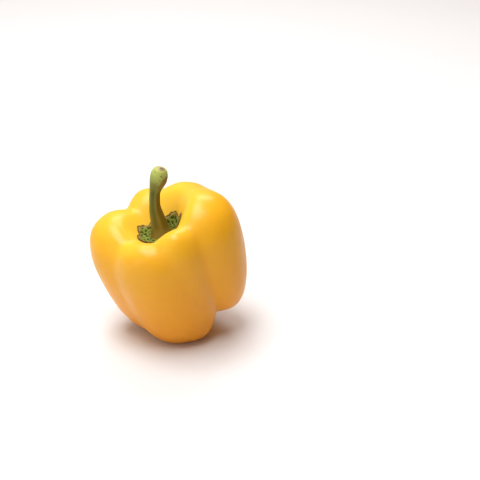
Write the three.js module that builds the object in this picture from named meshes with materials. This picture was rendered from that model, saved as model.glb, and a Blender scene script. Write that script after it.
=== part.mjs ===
// A whole bell pepper with its calyx and its cut stem, standing on the bumps of its blossom end and
// leaning to the left. Millimetres, +Z up, +X to the right, +Y to the back, origin under its middle.
import * as THREE from "three";
import { mergeVertices } from "three/addons/utils/BufferGeometryUtils.js";

// Lobes of the fruit. Each is an ellipsoid set round the heart of the fruit: bearing turns it about the
// fruit's own axis from +X, distance and height place its centre, half gives its half depth, half width
// and half height, and lean tips its top outwards. The core is one on the axis, which keeps the furrows
// shallow round the stalk and between the feet.
const LOBES = [
  { name: "left", bearing: 166, distance: 18, height: 1, half: [21.5, 23, 36.5], lean: 3 },
  { name: "back left", bearing: 104, distance: 18, height: -1, half: [20, 17, 39], lean: 4 },
  { name: "back right", bearing: 55, distance: 18, height: 3, half: [19.5, 21.5, 37], lean: 0 },
  { name: "right", bearing: 7, distance: 20, height: 5, half: [21.5, 22.5, 36.5], lean: -8 },
  { name: "front right", bearing: -62, distance: 13.5, height: -3, half: [16.5, 17, 37.5], lean: 5 },
  { name: "front left", bearing: -116, distance: 15, height: -4, half: [17, 22, 35], lean: 6 },
  { name: "core", bearing: 0, distance: 0, height: 1, half: [26, 26, 32], lean: 0 },
];
const FURROW_CRISPNESS = 20; // a higher power cuts sharper furrows where two lobes meet

// Fruit as a whole
const BODY_HALF_HEIGHT = 36;
const TAPER = 0.13; // share by which the shoulders are wider, and the foot narrower, than the middle
const BARREL = 0.14; // share by which both ends spread
const BLOSSOM_DENT = 0.06; // share of the reach lost at the middle of the blossom end
const BLOSSOM_DENT_ANGLE = 22; // degrees from the axis
const SEAT_HEIGHT = 18.9; // of the stalk cavity's floor above the heart
const SEAT_RADIUS = 13.5;
const SEAT_EDGE = 2.8; // a higher power makes the floor flatter and the cavity's wall steeper
const HEART_HEIGHT = 37; // of the heart above the floor, low enough to press the feet flat
const LEAN_LEFT = 13.5; // degrees
const NOD_FORWARD = 3; // degrees
const FRUIT_DETAIL = 18; // cuts along each edge of the icosahedron

// Calyx, the ruff of sepals grown together round the foot of the stem
const CALYX_RADIUS = 11.6;
const SEPALS = 7;
const SEPAL_POINT = 1.3; // how far a sepal's point stands out past the ruff's edge
const SEPAL_SHARPNESS = 3; // a higher power makes the points narrower
const CALYX_THICKNESS = 1.5;
const RIM_ROUNDNESS = 4; // a higher power keeps the ruff thick nearer to its rim
const CALYX_RIDGES = 14;
const RIDGE_HEIGHT = 0.5;
const COLLAR_HEIGHT = 24.7; // of the flat collar that carries the stem, above the heart
const COLLAR_RADIUS = 6.5;
const COLLAR_SLOPE = 4; // width of the slope from the collar down to the ruff
const CALYX_SIDES = 56;
const CALYX_RINGS = 16;
const GAP = 0.7; // clear space between neighbouring pieces

// Stem: stations along its middle line in the fruit's own frame, measured from the collar, with radii
const STEM_PATH = [
  { x: 0.6, y: 0, z: 0, radius: 6.2 },
  { x: 0.6, y: 0, z: 2.6, radius: 5 },
  { x: 0.7, y: 0, z: 6, radius: 4.3 },
  { x: 1, y: -0.2, z: 13.4, radius: 3.3 },
  { x: 1.7, y: -0.4, z: 17.7, radius: 2.9 },
  { x: 3.6, y: -0.8, z: 24.3, radius: 2.9 },
  { x: 5.5, y: -1.3, z: 28, radius: 3.7 },
  { x: 7.5, y: -1.9, z: 31.6, radius: 4.6 },
  { x: 9.4, y: -2.4, z: 35.2, radius: 4.5 },
  { x: 10.6, y: -2.8, z: 37.4, radius: 3.4 },
];
const STEM_RIBS = 5;
const RIB_SHARE = 0.07; // how far a rib stands out, as a share of the radius
const RIBS_FADE = 0.65; // share of the stem's length where the ribs start to run out
const STEM_SIDES = 20;
const STEM_STEPS = 27;

const SKIN = { color: 0xf0a91e, roughness: 0.22, metalness: 0 };
const CALYX_GREEN = { color: 0x4c7a2c, roughness: 0.6, metalness: 0 };
const STEM_GREEN = { color: 0x7d8f3f, roughness: 0.5, metalness: 0 };

const radians = THREE.MathUtils.degToRad;
const degrees = THREE.MathUtils.radToDeg;
const smoothstep = THREE.MathUtils.smoothstep;
const lerp = THREE.MathUtils.lerp;
const UP = new THREE.Vector3(0, 0, 1);
const CAVITY_EDGE_ANGLE = radians(40); // from the axis, past the rim of the stalk cavity
const HALVINGS = 24;

// The matrix that takes a lobe's ellipsoid to the unit sphere.
function toUnitSphere(lobe) {
  const place = new THREE.Matrix4().makeRotationZ(radians(lobe.bearing));
  place.multiply(new THREE.Matrix4().makeTranslation(lobe.distance, 0, lobe.height));
  place.multiply(new THREE.Matrix4().makeRotationY(radians(lobe.lean)));
  place.multiply(new THREE.Matrix4().makeScale(...lobe.half));
  return place.invert();
}
const LOBE_SPACES = LOBES.map(toUnitSphere);

// How far a ray from the heart runs before it leaves one lobe.
function reachOfLobe(direction, space) {
  const start = new THREE.Vector3().applyMatrix4(space);
  const step = direction.clone().applyMatrix4(space).sub(start);
  const square = step.lengthSq();
  const along = step.dot(start);
  const inside = start.lengthSq() - 1;
  return (-along + Math.sqrt(along * along - square * inside)) / square;
}

// A bump that is 1 on the line and falls away with the angle from it.
function bump(angle, width) {
  return Math.exp(-((angle / width) ** 2));
}

// The point of the fruit's skin that lies in a direction from the heart, in the fruit's own frame.
function skinPoint(direction) {
  const reaches = LOBE_SPACES.map((space) => reachOfLobe(direction, space) ** FURROW_CRISPNESS);
  const joined = reaches.reduce((sum, reach) => sum + reach, 0) ** (1 / FURROW_CRISPNESS);
  const fromFoot = 180 - degrees(Math.acos(THREE.MathUtils.clamp(direction.z, -1, 1)));
  const dent = BLOSSOM_DENT * bump(fromFoot, BLOSSOM_DENT_ANGLE);
  const point = direction.clone().multiplyScalar(joined * (1 - dent));
  const share = point.z / BODY_HALF_HEIGHT;
  const spread = 1 + TAPER * share + BARREL * share * share;
  point.x *= spread;
  point.y *= spread;
  if (point.z > 0) {
    const seat = Math.exp(-((Math.hypot(point.x, point.y) / SEAT_RADIUS) ** SEAT_EDGE));
    point.z = lerp(point.z, SEAT_HEIGHT, seat);
  }
  return point;
}

// A closed geometry of shared vertices, each moved by a rule.
function reshape(geometry, rule) {
  geometry.deleteAttribute("normal");
  geometry.deleteAttribute("uv");
  const merged = mergeVertices(geometry);
  const position = merged.getAttribute("position");
  const point = new THREE.Vector3();
  for (let i = 0; i < position.count; i += 1) {
    const moved = rule(point.fromBufferAttribute(position, i));
    position.setXYZ(i, moved.x, moved.y, moved.z);
  }
  merged.computeVertexNormals();
  return merged;
}

// From the fruit's own frame, with the heart at its origin, to the floor's: nodding, leaning, standing.
const STAND = new THREE.Matrix4().makeTranslation(0, 0, HEART_HEIGHT);
STAND.multiply(new THREE.Matrix4().makeRotationX(radians(NOD_FORWARD)));
STAND.multiply(new THREE.Matrix4().makeRotationY(radians(-LEAN_LEFT)));

// The fruit: its lowest bumps are pressed flat where they stand on the floor.
function fruitGeometry() {
  return reshape(new THREE.IcosahedronGeometry(1, FRUIT_DETAIL), (direction) => {
    const point = skinPoint(direction.normalize()).applyMatrix4(STAND);
    point.z = Math.max(point.z, 0);
    return point;
  });
}

// The point of the skin at a given radius from the fruit's axis, inside the stalk cavity.
function cavityPoint(radius, turn) {
  let low = 0;
  let high = CAVITY_EDGE_ANGLE;
  let point;
  for (let i = 0; i < HALVINGS; i += 1) {
    const angle = (low + high) / 2;
    const direction = new THREE.Vector3(Math.sin(angle), 0, Math.cos(angle)).applyAxisAngle(UP, turn);
    point = skinPoint(direction);
    if (Math.hypot(point.x, point.y) < radius) {
      low = angle;
    } else {
      high = angle;
    }
  }
  return point;
}

// The calyx: a flattened sphere whose lower half lies along the skin of the cavity and whose upper half
// is ridged, rises to the collar and ends in pointed sepals.
function calyxGeometry() {
  const disc = new THREE.SphereGeometry(1, CALYX_SIDES, CALYX_RINGS);
  disc.rotateX(Math.PI / 2);
  return reshape(disc, (unit) => {
    const turn = Math.atan2(unit.y, unit.x);
    const out = Math.min(Math.hypot(unit.x, unit.y), 1);
    const sepal = Math.abs(Math.cos((turn * SEPALS) / 2)) ** SEPAL_SHARPNESS;
    const radius = (CALYX_RADIUS + SEPAL_POINT * sepal * out) * out;
    const point = cavityPoint(radius, turn);
    const skin = point.z + GAP;
    const ridge = RIDGE_HEIGHT * Math.cos(turn * CALYX_RIDGES) * Math.sin(Math.PI * out);
    const ruff = skin + (CALYX_THICKNESS + ridge) * Math.sqrt(1 - out ** RIM_ROUNDNESS);
    const rise = 1 - smoothstep(radius, COLLAR_RADIUS, COLLAR_RADIUS + COLLAR_SLOPE);
    const top = lerp(ruff, COLLAR_HEIGHT, rise);
    point.z = unit.z > 0 ? top : skin;
    return point.applyMatrix4(STAND);
  });
}

// The stem: a ribbed round bar bent along its middle line, flared at the foot and swollen at the cut head.
// The bar starts one unit long with its middle at the origin, so half a unit below is its foot.
function stemGeometry() {
  const line = new THREE.CatmullRomCurve3(STEM_PATH.map(({ x, y, z }) => new THREE.Vector3(x, y, z)));
  const girth = new THREE.SplineCurve(STEM_PATH.map(({ radius }) => new THREE.Vector2(radius, 0)));
  const frames = line.computeFrenetFrames(STEM_STEPS);
  const bar = new THREE.CylinderGeometry(1, 1, 1, STEM_SIDES, STEM_STEPS);
  bar.rotateX(Math.PI / 2);
  const foot = new THREE.Vector3(0, 0, COLLAR_HEIGHT + GAP);
  return reshape(bar, (unit) => {
    const step = Math.round((unit.z + 0.5) * STEM_STEPS);
    const share = step / STEM_STEPS;
    const turn = Math.atan2(unit.y, unit.x);
    const rib = RIB_SHARE * Math.cos(turn * STEM_RIBS) * (1 - smoothstep(share, RIBS_FADE, 1));
    const station = line.getUtoTmapping(share);
    const reach = girth.getPoint(station).x * (1 + rib) * Math.hypot(unit.x, unit.y);
    const point = line.getPoint(station).add(foot);
    point.addScaledVector(frames.normals[step], reach * Math.cos(turn));
    point.addScaledVector(frames.binormals[step], reach * Math.sin(turn));
    return point.applyMatrix4(STAND);
  });
}

function piece(name, geometry, finish) {
  const mesh = new THREE.Mesh(geometry, new THREE.MeshStandardMaterial(finish));
  mesh.name = name;
  return mesh;
}

const pepper = new THREE.Group();
pepper.add(piece("fruit", fruitGeometry(), SKIN));
pepper.add(piece("calyx", calyxGeometry(), CALYX_GREEN));
pepper.add(piece("stem", stemGeometry(), STEM_GREEN));

// The origin lies on the floor under the middle of the whole pepper.
const box = new THREE.Box3().setFromObject(pepper);
const middle = box.getCenter(new THREE.Vector3());
for (const mesh of pepper.children) {
  mesh.position.set(-middle.x, -middle.y, -box.min.z);
}

export default pepper;
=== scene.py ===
import math

import bpy
from mathutils import Matrix, Vector


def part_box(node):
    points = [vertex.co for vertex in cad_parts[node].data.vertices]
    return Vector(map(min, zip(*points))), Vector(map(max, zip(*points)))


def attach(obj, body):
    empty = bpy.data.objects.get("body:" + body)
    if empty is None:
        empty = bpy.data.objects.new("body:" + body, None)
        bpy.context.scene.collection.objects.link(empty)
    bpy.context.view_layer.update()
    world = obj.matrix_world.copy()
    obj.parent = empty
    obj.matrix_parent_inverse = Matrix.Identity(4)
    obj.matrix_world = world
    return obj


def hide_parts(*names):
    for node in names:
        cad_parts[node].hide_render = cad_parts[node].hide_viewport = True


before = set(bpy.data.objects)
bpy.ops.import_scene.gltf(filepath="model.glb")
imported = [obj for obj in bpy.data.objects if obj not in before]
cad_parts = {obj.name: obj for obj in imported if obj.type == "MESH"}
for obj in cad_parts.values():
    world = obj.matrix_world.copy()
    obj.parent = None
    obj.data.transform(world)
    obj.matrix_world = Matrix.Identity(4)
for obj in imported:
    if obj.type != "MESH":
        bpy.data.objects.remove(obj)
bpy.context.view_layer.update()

# Fruit
# The berry itself: one hollow fruit of six soft lobes that share a heart, sunk round the stalk and bumpy
# below, where it stands on three of its lobes. Its skin is thin, waxy and glossy, golden yellow to orange.
# Each lobe is an ellipsoid set round the heart, and the skin runs smoothly from one to the next.

# Millimetres and degrees. Bearing 0 is right and -90 is towards the camera. Half holds half the depth, width
# and height, and lean tips the top outwards. The core lies on the axis and keeps the furrows shallow there.
LOBES = {
    "left": {"bearing": 166, "distance": 18, "height": 1, "half": (21.5, 23, 36.5), "lean": 3},
    "back left": {"bearing": 104, "distance": 18, "height": -1, "half": (20, 17, 39), "lean": 4},
    "back right": {"bearing": 55, "distance": 18, "height": 3, "half": (19.5, 21.5, 37), "lean": 0},
    "right": {"bearing": 7, "distance": 20, "height": 5, "half": (21.5, 22.5, 36.5), "lean": -8},
    "front right": {"bearing": -62, "distance": 13.5, "height": -3, "half": (16.5, 17, 37.5), "lean": 5},
    "front left": {"bearing": -116, "distance": 15, "height": -4, "half": (17, 22, 35), "lean": 6},
    "core": {"bearing": 0, "distance": 0, "height": 1, "half": (26, 26, 32), "lean": 0},
}
FRUIT_SIZES = {
    "Crispness": 20.0,       # how sharply the lobes meet in the furrows
    "Half height": 36.0,
    "Taper": 0.13,           # wider above, narrower below
    "Barrel": 0.14,          # both ends held wide
    "Dent": 0.06,            # share lost at the blossom end
    "Dent angle": math.radians(22),
    "Dimples": 0.7,          # depth of the faint dimples in the skin
    "Dimple scale": 3.4,
    "Seat height": 18.9,     # the floor of the cavity that the stalk grows from
    "Seat radius": 13.5,
    "Seat edge": 2.8,        # how suddenly the floor turns up into the wall
    "Pale radius": 22.0,     # round the stalk the skin is painted paler: painted light on the cavity walls and shoulder tops
    "Pale height": 25.0,     # above the heart, where the paler skin has its full strength
}
DIMPLE_STRETCH = (1, 1, 0.7)  # under 1, the dimples are longer that way
HEART_HEIGHT = 37.0
LEAN_LEFT = 13.5
NOD_FORWARD = 3.0
FRUIT_DETAIL = 7             # subdivisions of the ball that the fruit grows from
MM = 0.001


class Flow:
    """A number on its way through a node tree. Arithmetic on it adds Math nodes."""

    def __init__(self, tree, socket):
        self.tree = tree
        self.socket = socket

    def math(self, operation, *others):
        node = add(self.tree, "ShaderNodeMath", [self, *others], operation=operation)
        return Flow(self.tree, node.outputs[0])

    def __add__(self, other):
        return self.math("ADD", other)

    def __sub__(self, other):
        return self.math("SUBTRACT", other)

    def __mul__(self, other):
        return self.math("MULTIPLY", other)

    def __truediv__(self, other):
        return self.math("DIVIDE", other)

    def __pow__(self, other):
        return self.math("POWER", other)

    def __neg__(self):
        return self.math("MULTIPLY", -1.0)

    def towards(self, goal, share):
        """This number moved a share of the way to a goal."""
        return self + (goal - self) * share


def plug(tree, feed, socket):
    """Leads a flow or a socket into a node's input, or sets a plain value there."""
    if isinstance(feed, Flow):
        feed = feed.socket
    if isinstance(feed, bpy.types.NodeSocket):
        tree.links.new(feed, socket)
    else:
        socket.default_value = feed


def add(tree, kind, feeds=(), **settings):
    """A new node with its settings. Its inputs are fed in order from a list, or by name from a dictionary."""
    node = tree.nodes.new(kind)
    for name, value in settings.items():
        setattr(node, name, value)
    named = feeds.items() if isinstance(feeds, dict) else enumerate(feeds)
    for key, feed in named:
        plug(tree, feed, node.inputs[key])
    return node


def new_tree(name, kind, takes, gives):
    """A node tree with named sockets, and the sockets that its inputs and outputs have inside it."""
    tree = bpy.data.node_groups.new(name, kind)
    for socket, sort in takes.items():
        tree.interface.new_socket(socket, in_out="INPUT", socket_type="NodeSocket" + sort)
    for socket, sort in gives.items():
        tree.interface.new_socket(socket, in_out="OUTPUT", socket_type="NodeSocket" + sort)
    return tree, tree.nodes.new("NodeGroupInput").outputs, tree.nodes.new("NodeGroupOutput").inputs


def piece_tree(name, sizes, **others):
    """A tree that makes one piece. Each of its sizes is an input, and comes back as a flow."""
    sockets = {size: "Float" for size in sizes} | others | {"Material": "Material"}
    tree, takes, gives = new_tree(name, "GeometryNodeTree", sockets, {"Geometry": "Geometry"})
    return tree, {size: Flow(tree, takes[size]) for size in sizes}, takes, gives


def vector(tree, operation, *feeds):
    """The vector that a Vector Math node gives."""
    return add(tree, "ShaderNodeVectorMath", feeds, operation=operation).outputs["Vector"]


def dot(tree, one, other):
    """The dot product of two vectors."""
    node = add(tree, "ShaderNodeVectorMath", [one, other], operation="DOT_PRODUCT")
    return Flow(tree, node.outputs["Value"])


def turned(tree, feed, axis, angle):
    """A vector turned about one axis."""
    feeds = {"Vector": feed, "Angle": angle}
    return add(tree, "ShaderNodeVectorRotate", feeds, rotation_type=axis).outputs[0]


def parts(tree, feed):
    """The x, y and z of a vector."""
    return [Flow(tree, socket) for socket in add(tree, "ShaderNodeSeparateXYZ", [feed]).outputs]


def whole(tree, x, y, z):
    """A vector from its x, y and z."""
    return add(tree, "ShaderNodeCombineXYZ", [x, y, z]).outputs[0]


def noise(tree, place, scale, detail=2.0):
    """Smooth noise from 0 to 1."""
    node = add(tree, "ShaderNodeTexNoise", {"Vector": place, "Scale": scale, "Detail": detail})
    return Flow(tree, node.outputs["Fac"])


def ease(tree, value, low, high, first=0.0, last=1.0):
    """A number that eases from first to last while the value goes from low to high."""
    feeds = [value, low, high, first, last]
    node = add(tree, "ShaderNodeMapRange", feeds, interpolation_type="SMOOTHSTEP")
    return Flow(tree, node.outputs[0])


def noted(tree, geometry, name, value):
    """Geometry that carries one more number on each point."""
    feeds = {"Geometry": geometry, "Name": name, "Value": value}
    return add(tree, "GeometryNodeStoreNamedAttribute", feeds, data_type="FLOAT", domain="POINT").outputs[0]


def moved(tree, geometry, place):
    """Geometry with its points at other places."""
    return add(tree, "GeometryNodeSetPosition", {"Geometry": geometry, "Position": place}).outputs[0]


def finish_tree(tree, geometry, takes, gives):
    """Closes a tree that makes a piece: smooth, real geometry with its material."""
    smooth = add(tree, "GeometryNodeSetShadeSmooth", {"Geometry": geometry}).outputs[0]
    real = add(tree, "GeometryNodeRealizeInstances", {"Geometry": smooth}).outputs[0]
    feeds = {"Geometry": real, "Material": takes["Material"]}
    plug(tree, add(tree, "GeometryNodeSetMaterial", feeds).outputs[0], gives["Geometry"])


def grow(name, tree, inputs):
    """A plain mesh object made by a node tree from its named inputs."""
    piece = bpy.data.objects.new(name, bpy.data.meshes.new(name + "_seed"))
    bpy.context.collection.objects.link(piece)
    modifier = piece.modifiers.new("Grow", "NODES")
    modifier.node_group = tree
    for item in tree.interface.items_tree:
        if item.in_out == "INPUT":
            modifier[item.identifier] = inputs[item.name]
    graph = bpy.context.evaluated_depsgraph_get()
    grown = piece.evaluated_get(graph)
    mesh = bpy.data.meshes.new_from_object(grown, preserve_all_data_layers=True, depsgraph=graph)
    piece.modifiers.clear()
    piece.data = mesh
    mesh.name = name
    return piece


def lobe_reach_group():
    """A group that says how far a ray from the heart runs before it leaves one lobe."""
    tree, takes, gives = new_tree(
        "Lobe reach",
        "GeometryNodeTree",
        {
            "Direction": "Vector",
            "Bearing": "Float",
            "Lean": "Float",
            "Centre": "Vector",
            "Half sizes": "Vector",
        },
        {"Reach": "Float"},
    )
    unlean = -Flow(tree, takes["Lean"])
    ray = turned(tree, takes["Direction"], "Z_AXIS", -Flow(tree, takes["Bearing"]))
    step = vector(tree, "DIVIDE", turned(tree, ray, "Y_AXIS", unlean), takes["Half sizes"])
    from_centre = vector(tree, "MULTIPLY", takes["Centre"], (-1, -1, -1))
    start = vector(tree, "DIVIDE", turned(tree, from_centre, "Y_AXIS", unlean), takes["Half sizes"])
    square = dot(tree, step, step)
    along = dot(tree, step, start)
    inside = dot(tree, start, start) - 1.0
    root = (along * along - square * inside).math("SQRT")
    plug(tree, (root - along) / square, gives["Reach"])
    return tree


def fruit_tree():
    """The tree that grows the upright fruit, in millimetres, with the heart at the origin."""
    tree, size, takes, gives = piece_tree("Pepper fruit", FRUIT_SIZES)
    ball_sizes = {"Radius": 1.0, "Subdivisions": FRUIT_DETAIL}
    ball = add(tree, "GeometryNodeMeshIcoSphere", ball_sizes).outputs["Mesh"]
    direction = vector(tree, "NORMALIZE", tree.nodes.new("GeometryNodeInputPosition").outputs[0])

    # The reach is a soft maximum over the lobes: the skin follows the outermost one and rounds the furrows.
    reach_group = lobe_reach_group()
    total = None
    largest = None
    for lobe in LOBES.values():
        feeds = {
            "Direction": direction,
            "Bearing": math.radians(lobe["bearing"]),
            "Lean": math.radians(lobe["lean"]),
            "Centre": (lobe["distance"], 0, lobe["height"]),
            "Half sizes": lobe["half"],
        }
        node = add(tree, "GeometryNodeGroup", feeds, node_tree=reach_group)
        power = Flow(tree, node.outputs["Reach"]) ** size["Crispness"]
        total = power if total is None else total + power
        largest = power if largest is None else largest.math("MAXIMUM", power)
    reach = total.math("LOGARITHM", math.e)
    reach = (reach / size["Crispness"]).math("EXPONENT")
    furrow = -(largest / total) + 1.0

    # The blossom end is dented, and the whole skin is faintly dimpled.
    x, y, z = parts(tree, direction)
    from_foot = (-z).math("ARCCOSINE") / size["Dent angle"]
    dent = (-(from_foot * from_foot)).math("EXPONENT") * size["Dent"]
    reach = reach * (-dent + 1.0)
    dimple_place = vector(tree, "MULTIPLY", direction, DIMPLE_STRETCH)
    reach = reach - noise(tree, dimple_place, size["Dimple scale"], detail=1.0) * size["Dimples"]

    # The body tapers downwards, and the cavity round the stalk is pressed down to its floor.
    height = z * reach
    share = height / size["Half height"]
    spread = share * size["Taper"] + share * share * size["Barrel"] + 1.0
    across = x * reach * spread
    away = y * reach * spread
    radius = (across * across + away * away).math("SQRT")
    above = height.math("GREATER_THAN", 0.0)
    seat = (-((radius / size["Seat radius"]) ** size["Seat edge"])).math("EXPONENT") * above
    # Painted light: round the stalk, on the cavity walls and shoulder tops, the skin is painted paler and
    # yellower, as where the light falls.
    pale = (-((radius / size["Pale radius"]) ** 2.0)).math("EXPONENT")
    pale = pale * ease(tree, height, 0.0, size["Pale height"])
    height = height.towards(size["Seat height"], seat)

    skin = noted(tree, ball, "furrow", furrow)
    skin = noted(tree, skin, "pale", pale)
    skin = moved(tree, skin, whole(tree, across, away, height))
    finish_tree(tree, skin, takes, gives)
    return tree


# What all the plant's surfaces share. A band is the low and the high value that an effect eases between.
CLOUD_BAND = (0.3, 0.7)
FLECK_BAND = (0.12, 0.3)     # distances from the middle of a fleck
GRAIN_FINENESS = 1.6         # grains for each fleck


def mottle_group():
    """A shader group for plant surfaces: broad clouds, small flecks and a fine grain, each from 0 to 1."""
    tree, takes, gives = new_tree(
        "Plant mottle",
        "ShaderNodeTree",
        {"Cloud scale": "Float", "Fleck scale": "Float"},
        {"Cloud": "Float", "Fleck": "Float", "Grain": "Float"},
    )
    place = tree.nodes.new("ShaderNodeTexCoord").outputs["Object"]
    fleck_scale = Flow(tree, takes["Fleck scale"])
    cloud = noise(tree, place, takes["Cloud scale"], detail=3.0)
    plug(tree, ease(tree, cloud, *CLOUD_BAND), gives["Cloud"])
    spots = add(tree, "ShaderNodeTexVoronoi", {"Vector": place, "Scale": fleck_scale})
    from_spot = Flow(tree, spots.outputs["Distance"])
    plug(tree, ease(tree, from_spot, *FLECK_BAND, first=1.0, last=0.0), gives["Fleck"])
    plug(tree, noise(tree, place, fleck_scale * GRAIN_FINENESS), gives["Grain"])
    return tree


MOTTLE = mottle_group()


def mottled(tree, clouds, flecks):
    """The cloud, fleck and grain of one material, with clouds and flecks so many to the metre."""
    feeds = {"Cloud scale": clouds, "Fleck scale": flecks}
    node = add(tree, "ShaderNodeGroup", feeds, node_tree=MOTTLE)
    return [Flow(tree, socket) for socket in node.outputs]


def attribute(tree, name):
    """A number that the mesh carries on its points."""
    return Flow(tree, add(tree, "ShaderNodeAttribute", attribute_name=name).outputs["Fac"])


# Where a Mix node keeps its sockets for colours.
MIX_SHARE, MIX_ONE, MIX_OTHER, MIX_RESULT = 0, 6, 7, 2


def blend(tree, share, one, other):
    """A colour between two others."""
    feeds = {MIX_SHARE: share, MIX_ONE: one, MIX_OTHER: other}
    return add(tree, "ShaderNodeMix", feeds, data_type="RGBA").outputs[MIX_RESULT]


def new_material(name, **constants):
    """A material with its Principled shader, whose constant values are set on its own sockets."""
    material = bpy.data.materials.new(name)
    material.use_nodes = True
    shader = material.node_tree.nodes["Principled BSDF"]
    for socket, value in constants.items():
        shader.inputs[socket.replace("_", " ")].default_value = value
    return material, material.node_tree, shader.inputs


def bump(tree, height, strength, distance):
    """A normal tilted by a height."""
    feeds = {"Strength": strength, "Distance": distance, "Height": height}
    return add(tree, "ShaderNodeBump", feeds).outputs["Normal"]


SKIN_GOLD = (0.83, 0.43, 0.016, 1)
SKIN_ORANGE = (0.81, 0.32, 0.012, 1)
SKIN_DEEP = (0.76, 0.275, 0.010, 1)
SKIN_PALE = (0.90, 0.62, 0.062, 1)
SKIN_TINTS = {"cloud": 0.25, "furrow": 0.15, "pale": 0.8, "fleck": 0.10}  # share of each at its strongest
SKIN_ROUGHNESS = {"least": 0.28, "cloud": 0.06, "furrow": 0.05}
SKIN_GRAIN = {"strength": 0.10, "distance": 0.0003}
SKIN_CLOUDS = 38.0
SKIN_FLECKS = 530.0
GOLD_BAND = (0.0, 0.075)     # heights in metres, orange to gold, partly painted light on the upper skin
GOLD_WAVE = 0.012            # how far clouds shift that change
FURROW_BAND = (0.05, 0.5)


def skin_material():
    """Waxy pepper skin: orange below and gold above, partly its own tone and partly painted light; painted
    shade deeper in the furrows; painted light paler round the stalk; flecked.
    """
    material, tree, shader = new_material(
        "Pepper skin",
        IOR=1.46,
        Specular_IOR_Level=0.31,
        Subsurface_Weight=0.12,
        Subsurface_Radius=(1.0, 0.35, 0.08),
        Subsurface_Scale=0.004,
    )
    cloud, fleck, grain = mottled(tree, SKIN_CLOUDS, SKIN_FLECKS)
    height = parts(tree, tree.nodes.new("ShaderNodeTexCoord").outputs["Object"])[2]
    furrow = ease(tree, attribute(tree, "furrow"), *FURROW_BAND)
    # Partly the skin's own tone and partly painted light: the skin is painted gold towards the top, where the
    # light falls, and orange below.
    colour = blend(tree, ease(tree, height + cloud * GOLD_WAVE, *GOLD_BAND), SKIN_ORANGE, SKIN_GOLD)
    colour = blend(tree, cloud * SKIN_TINTS["cloud"], colour, SKIN_DEEP)
    # Painted shade: the skin is painted a deeper orange in the furrows, where shade falls.
    colour = blend(tree, furrow * SKIN_TINTS["furrow"], colour, SKIN_DEEP)
    # Painted light: paler, yellower skin round the stalk.
    colour = blend(tree, attribute(tree, "pale") * SKIN_TINTS["pale"], colour, SKIN_PALE)
    colour = blend(tree, fleck * SKIN_TINTS["fleck"], colour, SKIN_PALE)
    roughness = cloud * SKIN_ROUGHNESS["cloud"] + furrow * SKIN_ROUGHNESS["furrow"] + SKIN_ROUGHNESS["least"]
    plug(tree, colour, shader["Base Color"])
    plug(tree, roughness, shader["Roughness"])
    plug(tree, bump(tree, grain, **SKIN_GRAIN), shader["Normal"])
    return material


upright = grow("fruit_upright", fruit_tree(), FRUIT_SIZES | {"Material": skin_material()})

# The fruit leans on its feet, and lies over its solid: the heart's place follows from the solid's box.
tilt = Matrix.Rotation(math.radians(NOD_FORWARD), 4, "X") @ Matrix.Rotation(math.radians(-LEAN_LEFT), 4, "Y")
tilt = tilt @ Matrix.Scale(MM, 4)
leaning = [tilt @ vertex.co for vertex in upright.data.vertices]
solid_low, solid_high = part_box("fruit")
heart = Vector((0, 0, HEART_HEIGHT * MM))
for axis in (0, 1):
    own = [point[axis] for point in leaning]
    heart[axis] = (solid_low[axis] + solid_high[axis] - min(own) - max(own)) / 2
STAND = Matrix.Translation(heart) @ tilt


def stand_up(piece):
    """Leans an upright piece with the fruit, from millimetres to metres, and presses it flat on the floor."""
    piece.data.transform(STAND)
    for vertex in piece.data.vertices:
        vertex.co.z = max(vertex.co.z, 0.0)


fruit = bpy.data.objects.new("fruit_skin", upright.data.copy())
bpy.context.collection.objects.link(fruit)
stand_up(fruit)
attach(fruit, "root")
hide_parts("fruit")

# Calyx
# The withered green leaf star that held the flower: seven short sepals grown into one crinkled disc. It lies
# in the cavity on top of the fruit and rises in the middle to the collar that the stalk grows from.

CALYX_SIZES = {
    "Radius": 11.6,
    "Sepals": 7.0,
    "Point": 1.3,            # how far a sepal stands out past the rim
    "Ragged depth": 1.8,
    "Ragged scale": 4.5,
    "Stretch": 1.03,         # wider from left to right than from front to back
    "Shift": 0.4,            # to the right, where the stalk stands
    "Thickness": 1.5,
    "Ridges": 14.0,
    "Ridge height": 0.5,
    "Crinkle": 2.0,
    "Net scale": 0.40,       # meshes of the net of veins in each millimetre
    "Bend scale": 0.25,      # waves in each millimetre that bend the net
    "Pucker scale": 0.8,
    "Curl": 0.5,             # how far the rim stands off the skin
    "Gap": 0.1,
    "Collar height": 24.6,   # the crown that the stalk grows out of
    "Collar radius": 4.0,
    "Collar slope": 6.5,
    "Collar crinkle": 0.4,
}
CALYX_SEGMENTS = 320
CALYX_RINGS = 128
SEPAL_SHARPNESS = 2.0
RIM_ROUNDNESS = 4.0          # higher keeps the leaf thick nearer to its rim
CURL_SHARPNESS = 6.0         # higher keeps the curl nearer to the rim
RAGGED_SLICE = 0.6           # which slice of the noise makes the rim ragged
RAGGED_LEVEL = 0.55          # of the noise, where the rim is neither out nor in
NET_BEND = (4, 4, 0)
VEIN_BAND = (0.02, 0.30)     # distances from the middle of a vein
VEIN_SHARE = 0.7             # of the crinkles, the rest being puckers
NOISE_MIDDLE = 0.5
LOOK_FROM = 80.0             # height above the heart that the skin is looked for from
LOOK_DOWN = 160.0


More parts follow.
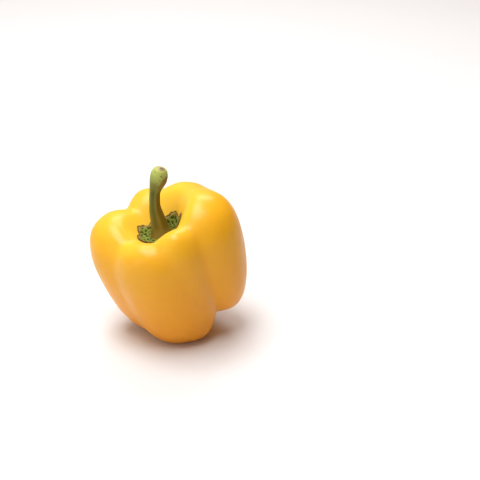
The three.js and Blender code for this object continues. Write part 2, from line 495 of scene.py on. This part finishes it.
def calyx_tree():
    """The tree that lays the calyx on the upright fruit: a flattened ball dropped on to the skin."""
    tree, size, takes, gives = piece_tree("Pepper calyx", CALYX_SIZES, Ground="Object")
    ball_sizes = {"Segments": CALYX_SEGMENTS, "Rings": CALYX_RINGS, "Radius": 1.0}
    ball = add(tree, "GeometryNodeMeshUVSphere", ball_sizes).outputs["Mesh"]
    x, y, z = parts(tree, tree.nodes.new("GeometryNodeInputPosition").outputs[0])
    out = (x * x + y * y).math("SQRT").math("MINIMUM", 1.0)
    turn = y.math("ARCTAN2", x)

    # Sepals: short blunt points on a ragged rim.
    sepal = (turn * size["Sepals"] / 2.0).math("COSINE").math("ABSOLUTE") ** SEPAL_SHARPNESS
    torn = noise(tree, whole(tree, x, y, RAGGED_SLICE), size["Ragged scale"], detail=2.5)
    ragged = (torn - RAGGED_LEVEL) * size["Ragged depth"]
    reach = size["Radius"] + (size["Point"] * sepal + ragged) * out
    across = x * reach * size["Stretch"] + size["Shift"]
    away = y * reach / size["Stretch"]

    # The skin under each point.
    ground = add(tree, "GeometryNodeObjectInfo", {"Object": takes["Ground"]})
    look = {
        "Target Geometry": ground.outputs["Geometry"],
        "Source Position": whole(tree, across, away, LOOK_FROM),
        "Ray Direction": (0, 0, -1),
        "Ray Length": LOOK_DOWN,
    }
    skin = parts(tree, add(tree, "GeometryNodeRaycast", look).outputs["Hit Position"])[2]

    # Crinkles: a net of raised veins, bent by noise, with puckers, and ridges that run out to the rim.
    flat = whole(tree, across, away, 0.0)
    waves = add(tree, "ShaderNodeTexNoise", {"Vector": flat, "Scale": size["Bend scale"]}).outputs["Color"]
    bent = vector(tree, "ADD", flat, vector(tree, "MULTIPLY", waves, NET_BEND))
    feeds = {"Vector": bent, "Scale": size["Net scale"]}
    net = add(tree, "ShaderNodeTexVoronoi", feeds, feature="DISTANCE_TO_EDGE", voronoi_dimensions="2D")
    vein = ease(tree, Flow(tree, net.outputs["Distance"]), *VEIN_BAND, first=1.0, last=0.0)
    pucker = noise(tree, flat, size["Pucker scale"], detail=3.0)
    crinkle = vein * VEIN_SHARE + pucker * (1.0 - VEIN_SHARE)
    ridge = (turn * size["Ridges"]).math("COSINE") * (out * math.pi).math("SINE")

    # The lower half lies on the skin, and the upper half is the leaf, which rises to the collar.
    swell = (-(out ** RIM_ROUNDNESS) + 1.0).math("MAXIMUM", 0.0).math("SQRT")
    leaf = size["Thickness"] + size["Ridge height"] * ridge + size["Crinkle"] * (crinkle - NOISE_MIDDLE)
    planar = (across * across + away * away).math("SQRT")
    collar_edge = size["Collar radius"] + size["Collar slope"]
    rise = ease(tree, planar, size["Collar radius"], collar_edge, first=1.0, last=0.0)
    under = skin + (size["Gap"] + size["Curl"] * out ** CURL_SHARPNESS)
    collar = size["Collar height"] + crinkle * size["Collar crinkle"]
    top = (under + leaf * swell).towards(collar, rise)
    height = under.towards(top, z.math("GREATER_THAN", 0.0))

    disc = noted(tree, ball, "crinkle", crinkle)
    disc = noted(tree, disc, "rim", out)
    disc = moved(tree, disc, whole(tree, across, away, height))
    finish_tree(tree, disc, takes, gives)
    return tree


LEAF_DARK = (0.034, 0.060, 0.004, 1)
LEAF_LIGHT = (0.235, 0.285, 0.040, 1)
LEAF_BROWN = (0.110, 0.070, 0.012, 1)
LEAF_MARGIN = (0.370, 0.240, 0.075, 1)
LEAF_EDGE = (0.100, 0.055, 0.012, 1)
LEAF_TINTS = {"cloud": 0.18, "fleck": 0.25, "margin": 0.75}
LEAF_ROUGHNESS = {"least": 0.5, "cloud": 0.15}
LEAF_GRAIN = {"strength": 0.35, "distance": 0.0006}
LEAF_CLOUDS = 170.0
LEAF_FLECKS = 1300.0
LEAF_LIGHT_BAND = (0.25, 0.85)   # crinkle heights, dark pits to light veins; the dark in the pits is partly painted shade
MARGIN_BAND = (0.90, 0.95)       # shares of the way out to the rim
EDGE_BAND = (0.965, 0.985)
RIM_WAVE = 0.02                  # how far clouds shift the margin


def calyx_material():
    """Dull, drying leaf: dark green between lighter veins, the dark partly painted shade in the pits, with
    brown patches, a pale rim and a dark edge that is partly dried brown tips and partly a painted shadow
    under the rim.
    """
    material, tree, shader = new_material("Calyx leaf", IOR=1.42, Specular_IOR_Level=0.22)
    cloud, fleck, grain = mottled(tree, LEAF_CLOUDS, LEAF_FLECKS)
    vein = ease(tree, attribute(tree, "crinkle"), *LEAF_LIGHT_BAND)
    rim = attribute(tree, "rim") + cloud * RIM_WAVE
    # Dark pits and light veins: the dark in the pits is partly the leaf's own colour and partly painted
    # shade.
    colour = blend(tree, vein, LEAF_DARK, LEAF_LIGHT)
    colour = blend(tree, cloud * LEAF_TINTS["cloud"], colour, LEAF_BROWN)
    colour = blend(tree, fleck * LEAF_TINTS["fleck"], colour, LEAF_DARK)
    colour = blend(tree, ease(tree, rim, *MARGIN_BAND) * LEAF_TINTS["margin"], colour, LEAF_MARGIN)
    # Dark brown outer edge: partly the dried brown tips and partly a painted shadow under the rim.
    colour = blend(tree, ease(tree, rim, *EDGE_BAND), colour, LEAF_EDGE)
    plug(tree, colour, shader["Base Color"])
    plug(tree, cloud * LEAF_ROUGHNESS["cloud"] + LEAF_ROUGHNESS["least"], shader["Roughness"])
    plug(tree, bump(tree, grain, **LEAF_GRAIN), shader["Normal"])
    return material


calyx = grow("calyx_leaf", calyx_tree(), CALYX_SIZES | {"Ground": upright, "Material": calyx_material()})
bpy.data.objects.remove(upright)
stand_up(calyx)
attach(calyx, "root")
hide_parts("calyx")

# Stem
# The woody green stalk that the fruit hung from: grooved and thick at the collar, thin where it bends, and
# swollen at the head, where it was cut from the plant. It grows out of the calyx.

# Each point is x, y, height above the foot and radius, in millimetres in the fruit's upright frame. The first
# point lies below the foot, because the stalk flares out over the collar.
STEM_LINE = [
    (0.6, -0.2, -2.4, 7.6),
    (0.6, -0.1, 0, 6.1),
    (0.6, 0, 2.6, 5.0),
    (0.7, 0, 6, 4.3),
    (1, -0.2, 13.4, 3.3),
    (1.7, -0.4, 17.7, 2.9),
    (3.6, -0.8, 24.3, 2.9),
    (5.5, -1.3, 28, 3.7),
    (7.5, -1.9, 31.6, 4.6),
    (9.4, -2.4, 35.2, 4.4),
    (10.4, -2.8, 37, 3.4),
    (10.8, -2.9, 37.7, 2.2),
]
STEM_FOOT = 24.7             # above the heart
STEM_SIZES = {
    "Ribs": 5.0,
    "Rib share": 0.07,       # how far a rib stands out, as a share of the radius
    "Ribs set in": 0.3,      # shares of the length where the ribs reach their height and start to fade
    "Ribs fade": 0.65,
    "Groove": 0.35,          # depth of the fine grooves
    "Groove scale": 1.6,
    "Crown": 0.4,            # how far the cut face bulges
    "Cut roughness": 0.3,
}
STEM_SIDES = 96
STEM_STEPS = 240
STEM_CAP_RINGS = 14
FOOT_RIB = 0.2               # share of a rib's height that is left at the foot
GROOVE_GIRTH = 2.6           # noise units round the stalk's radius and along its length
GROOVE_LENGTH = 4.5
GROOVE_LEVEL = 0.6           # of the noise, where the surface is neither out nor in
GROOVE_TONE = 2.5            # how much the grooves count beside the ribs for the painted light and shade
HEAD_FACE = 0.999            # share of the length past which only the cut face lies
LIT_SIDE = (0.55, -0.42, 0.72)   # the way that the side painted as lit faces


def stretched(tree, way, length):
    """A direction made so long."""
    return add(tree, "ShaderNodeVectorMath", {"Vector": way, "Scale": length}, operation="SCALE").outputs[0]


def stem_tree():
    """The tree that bends a ribbed, capped tube along the stem's line."""
    tree, size, takes, gives = piece_tree("Pepper stem", STEM_SIZES, Line="Object")
    drawn = add(tree, "GeometryNodeObjectInfo", {"Object": takes["Line"]}).outputs["Geometry"]
    line = add(tree, "GeometryNodeCurveSplineType", [drawn], spline_type="CATMULL_ROM").outputs[0]
    line = add(tree, "GeometryNodeResampleCurve", {"Curve": line, "Count": STEM_STEPS}).outputs[0]
    tube_sizes = {
        "Vertices": STEM_SIDES,
        "Side Segments": STEM_STEPS,
        "Fill Segments": STEM_CAP_RINGS,
        "Radius": 1.0,
        "Depth": 1.0,
    }
    tube = add(tree, "GeometryNodeMeshCylinder", tube_sizes, fill_type="TRIANGLE_FAN").outputs["Mesh"]
    x, y, z = parts(tree, tree.nodes.new("GeometryNodeInputPosition").outputs[0])
    along = z + 0.5
    out = (x * x + y * y).math("SQRT").math("MINIMUM", 1.0)
    turn = y.math("ARCTAN2", x)

    # The place, direction and thickness of the line beside each point of the tube.
    thick = tree.nodes.new("GeometryNodeInputRadius").outputs[0]
    feeds = {"Curves": line, "Value": thick, "Factor": along}
    spot = add(tree, "GeometryNodeSampleCurve", feeds, mode="FACTOR").outputs
    other_side = vector(tree, "CROSS_PRODUCT", spot["Tangent"], spot["Normal"])

    # Ribs fade towards the head, and fine grooves run the whole length.
    fade = ease(tree, along, size["Ribs fade"], 1.0, first=1.0, last=0.0)
    fade = fade * ease(tree, along, 0.0, size["Ribs set in"], first=FOOT_RIB)
    rib = (turn * size["Ribs"]).math("COSINE") * size["Rib share"] * fade
    girth = [turn.math(way) * GROOVE_GIRTH for way in ("COSINE", "SINE")]
    groove = noise(tree, whole(tree, *girth, along * GROOVE_LENGTH), size["Groove scale"], detail=4.0)
    radius = Flow(tree, spot["Value"]) * (rib + 1.0) + (groove - GROOVE_LEVEL) * size["Groove"]
    ridge = rib / size["Rib share"] + (groove - NOISE_MIDDLE) * GROOVE_TONE

    # The cut face bulges and is a little rough.
    at_head = along.math("GREATER_THAN", HEAD_FACE)
    crown = (-(out * out) + 1.0) * size["Crown"] + (groove - NOISE_MIDDLE) * size["Cut roughness"]
    ways = ((spot["Normal"], x * radius), (other_side, y * radius), (spot["Tangent"], crown * at_head))
    place = spot["Position"]
    for way, length in ways:
        place = vector(tree, "ADD", place, stretched(tree, way, length))

    stalk = noted(tree, tube, "along", along)
    stalk = noted(tree, stalk, "ridge", ease(tree, ridge, -1.0, 1.0))
    stalk = noted(tree, stalk, "inset", -out + 1.0)
    stalk = moved(tree, stalk, place)
    # The way each point faces, for the painted shade underneath and the painted light on one side.
    facing = tree.nodes.new("GeometryNodeInputNormal").outputs[0]
    stalk = noted(tree, stalk, "under", -parts(tree, facing)[2])
    stalk = noted(tree, stalk, "sun", dot(tree, facing, LIT_SIDE))
    finish_tree(tree, stalk, takes, gives)
    return tree


STEM_OLIVE = (0.150, 0.105, 0.014, 1)
STEM_GREEN = (0.115, 0.135, 0.020, 1)
STEM_HEAD_LIT = (0.425, 0.490, 0.115, 1)
STEM_SHADE = (0.050, 0.092, 0.006, 1)
STEM_RIB = (0.240, 0.235, 0.055, 1)
STEM_BROWN = (0.170, 0.085, 0.014, 1)
STEM_TAN = (0.250, 0.175, 0.022, 1)
STEM_CUT = (0.430, 0.340, 0.210, 1)
STEM_TINTS = {"rib": 0.55, "groove": 0.55, "tan": 0.6, "lit_head": 0.9, "fleck": 0.75, "cut": 0.7, "pith": 0.7}
STEM_ROUGHNESS = {"least": 0.42, "cloud": 0.15}
STEM_GRAIN = {"strength": 0.12, "distance": 0.0004}
STEM_CLOUDS = 130.0
STEM_FLECKS = 520.0
GREEN_BAND = (0.05, 0.4)     # shares of the length, olive to green
HEAD_BAND = (0.66, 0.92)     # shares of the length, green to the head's yellow green, which is painted lighter on its lit side
HEAD_WAVE = 0.08             # how far clouds shift that change
RIB_BAND = (0.6, 1.0)        # heights of the ribs and grooves, painted lighter and darker
GROOVE_BAND = (0.0, 0.45)
TAN_BAND = (0.1, 0.6)        # how squarely the surface faces the side painted as lit
HEAD_LIT_BAND = (-0.5, 0.5)
UNDER_BAND = (0.0, 0.5)      # how squarely the surface faces down, for the painted shade underneath
CUT_BAND = (0.0, 0.12)       # shares of the way in from the edge of the cut
PITH_BAND = (0.45, 0.75)
CUT_START = 0.9985           # share of the length


def stem_material():
    """Woody green stalk: an olive foot, partly a painted reflection of the fruit; a yellow green head; dark
    grooves and lighter ribs, painted shade and light; a tan side and a brown underside at the head, painted
    light and shade; and a pale cut.
    """
    material, tree, shader = new_material("Stem stalk", IOR=1.44, Specular_IOR_Level=0.25)
    cloud, fleck, grain = mottled(tree, STEM_CLOUDS, STEM_FLECKS)
    along = attribute(tree, "along")
    ridge = attribute(tree, "ridge")
    inset = attribute(tree, "inset")
    sun = attribute(tree, "sun")
    head = ease(tree, along + cloud * HEAD_WAVE, *HEAD_BAND)
    under = ease(tree, attribute(tree, "under"), *UNDER_BAND)
    groove = ease(tree, ridge, *GROOVE_BAND, first=1.0, last=0.0)
    cut = ease(tree, inset, *CUT_BAND) * along.math("GREATER_THAN", CUT_START)
    pith = ease(tree, inset, *PITH_BAND) * cut
    # Painted light and shade: the head is painted a lighter yellow green on the side that faces the light and
    # a darker green on the other.
    lit_head = blend(tree, ease(tree, sun, *HEAD_LIT_BAND), STEM_GREEN, STEM_HEAD_LIT)
    dried = blend(tree, cloud * STEM_TINTS["cut"], STEM_CUT, STEM_BROWN)
    # Olive foot: partly the stalk's own colour and partly a painted warm reflection of the fruit.
    colour = blend(tree, ease(tree, along, *GREEN_BAND), STEM_OLIVE, STEM_GREEN)
    # Painted light and shade: the ribs are painted lighter and the grooves darker.
    colour = blend(tree, ease(tree, ridge, *RIB_BAND) * STEM_TINTS["rib"], colour, STEM_RIB)
    colour = blend(tree, groove * STEM_TINTS["groove"], colour, STEM_SHADE)
    # Painted light: the side that faces the light is painted tan.
    colour = blend(tree, ease(tree, sun, *TAN_BAND) * STEM_TINTS["tan"], colour, STEM_TAN)
    colour = blend(tree, head * STEM_TINTS["lit_head"], colour, lit_head)
    # Painted shade: the underside of the head is painted brown.
    colour = blend(tree, under * head, colour, STEM_BROWN)
    colour = blend(tree, fleck * head * STEM_TINTS["fleck"], colour, STEM_SHADE)
    colour = blend(tree, cut, colour, dried)
    colour = blend(tree, pith * STEM_TINTS["pith"], colour, STEM_SHADE)
    plug(tree, colour, shader["Base Color"])
    plug(tree, cloud * STEM_ROUGHNESS["cloud"] + STEM_ROUGHNESS["least"], shader["Roughness"])
    plug(tree, bump(tree, grain, **STEM_GRAIN), shader["Normal"])
    return material


def stem_line():
    """The middle line of the stem as a curve object with a radius at each point."""
    curve = bpy.data.curves.new("stem_line", "CURVE")
    curve.dimensions = "3D"
    spline = curve.splines.new("POLY")
    spline.points.add(len(STEM_LINE) - 1)
    for point, (x, y, height, radius) in zip(spline.points, STEM_LINE):
        point.co = (x, y, STEM_FOOT + height, 1)
        point.radius = radius
    line = bpy.data.objects.new("stem_line", curve)
    bpy.context.collection.objects.link(line)
    return line


line = stem_line()
stem = grow("stem_stalk", stem_tree(), STEM_SIZES | {"Line": line, "Material": stem_material()})
bpy.data.objects.remove(line)
stand_up(stem)
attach(stem, "root")
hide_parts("stem")

# Floor
# A plain white table top, far wider than the view, that the fruit stands on. It is laminate, so it is nearly
# even in tone and only a little shiny.

FLOOR_HALF = 3.0
FLOOR_CORNERS = [(-1, -1), (1, -1), (1, 1), (-1, 1)]
FLOOR_TONES = ((0.74, 0.75, 0.77, 1), (0.76, 0.77, 0.79, 1))
FLOOR_CLOUDS = 3.0


def floor_material():
    """White laminate, very slightly uneven in tone."""
    material, tree, shader = new_material("White table", Specular_IOR_Level=0.2, Roughness=0.6)
    place = tree.nodes.new("ShaderNodeTexCoord").outputs["Object"]
    plug(tree, blend(tree, noise(tree, place, FLOOR_CLOUDS), *FLOOR_TONES), shader["Base Color"])
    return material


floor_mesh = bpy.data.meshes.new("floor")
corners = [(x * FLOOR_HALF, y * FLOOR_HALF, 0) for x, y in FLOOR_CORNERS]
floor_mesh.from_pydata(corners, [], [range(len(corners))])
floor_mesh.materials.append(floor_material())
floor = bpy.data.objects.new("floor", floor_mesh)
bpy.context.collection.objects.link(floor)

# Light
# A white room that dims and warms towards the right, and three soft boxes: a large one overhead and a little
# to the left, a smaller one high up behind the fruit, and a weak one low at the left that lifts the shadow.

ROOM_LIGHT = 0.55
ROOM_WHITE = (1.0, 0.91, 0.82, 1)
ROOM_WARM = (0.38, 0.15, 0.04, 1)
ROOM_BAND = (-0.6, 0.7)      # from left to right, white to warm
SOFT_BOXES = {
    "soft_box_back": {"place": (0.05, 0.60, 0.78), "width": 0.6, "depth": 0.3, "watts": 3.6},
    "soft_box_top": {"place": (-0.16, -0.06, 0.97), "width": 0.8, "depth": 0.5, "watts": 10.9},
    "soft_box_left": {"place": (-0.55, -0.50, 0.20), "width": 0.2, "depth": 0.3, "watts": 0.45},
}
LIGHT_AIM = Vector((0, 0, 0.04))

world = bpy.data.worlds.new("white_room")
world.use_nodes = True
room_tree = world.node_tree
room = room_tree.nodes["Background"].inputs
sideways = parts(room_tree, room_tree.nodes.new("ShaderNodeTexCoord").outputs["Generated"])[0]
room_tone = blend(room_tree, ease(room_tree, sideways, *ROOM_BAND), ROOM_WHITE, ROOM_WARM)
plug(room_tree, room_tone, room["Color"])
plug(room_tree, ROOM_LIGHT, room["Strength"])
bpy.context.scene.world = world

for name, box in SOFT_BOXES.items():
    light = bpy.data.lights.new(name, "AREA")
    light.shape = "RECTANGLE"
    light.size = box["width"]
    light.size_y = box["depth"]
    light.energy = box["watts"]
    lamp = bpy.data.objects.new(name, light)
    lamp.location = box["place"]
    lamp.rotation_euler = (LIGHT_AIM - lamp.location).to_track_quat("-Z", "Y").to_euler()
    bpy.context.collection.objects.link(lamp)

bpy.context.scene.view_settings.view_transform = "Standard"

# Camera
# A long lens at the photograph's angle, looking down on the fruit, which stands left of the middle. Metres,
# degrees up from straight down, and millimetres for the lens and its sensor.

CAMERA_PLACE = (0.0387, -0.6755, 0.3982)
CAMERA_PITCH = 63.0
CAMERA_LENS = 105.4
CAMERA_SENSOR = 36.0

camera_data = bpy.data.cameras.new("camera")
camera_data.lens = CAMERA_LENS
camera_data.sensor_width = CAMERA_SENSOR
camera = bpy.data.objects.new("camera", camera_data)
camera.location = CAMERA_PLACE
camera.rotation_euler = (math.radians(CAMERA_PITCH), 0, 0)
bpy.context.collection.objects.link(camera)
bpy.context.scene.camera = camera
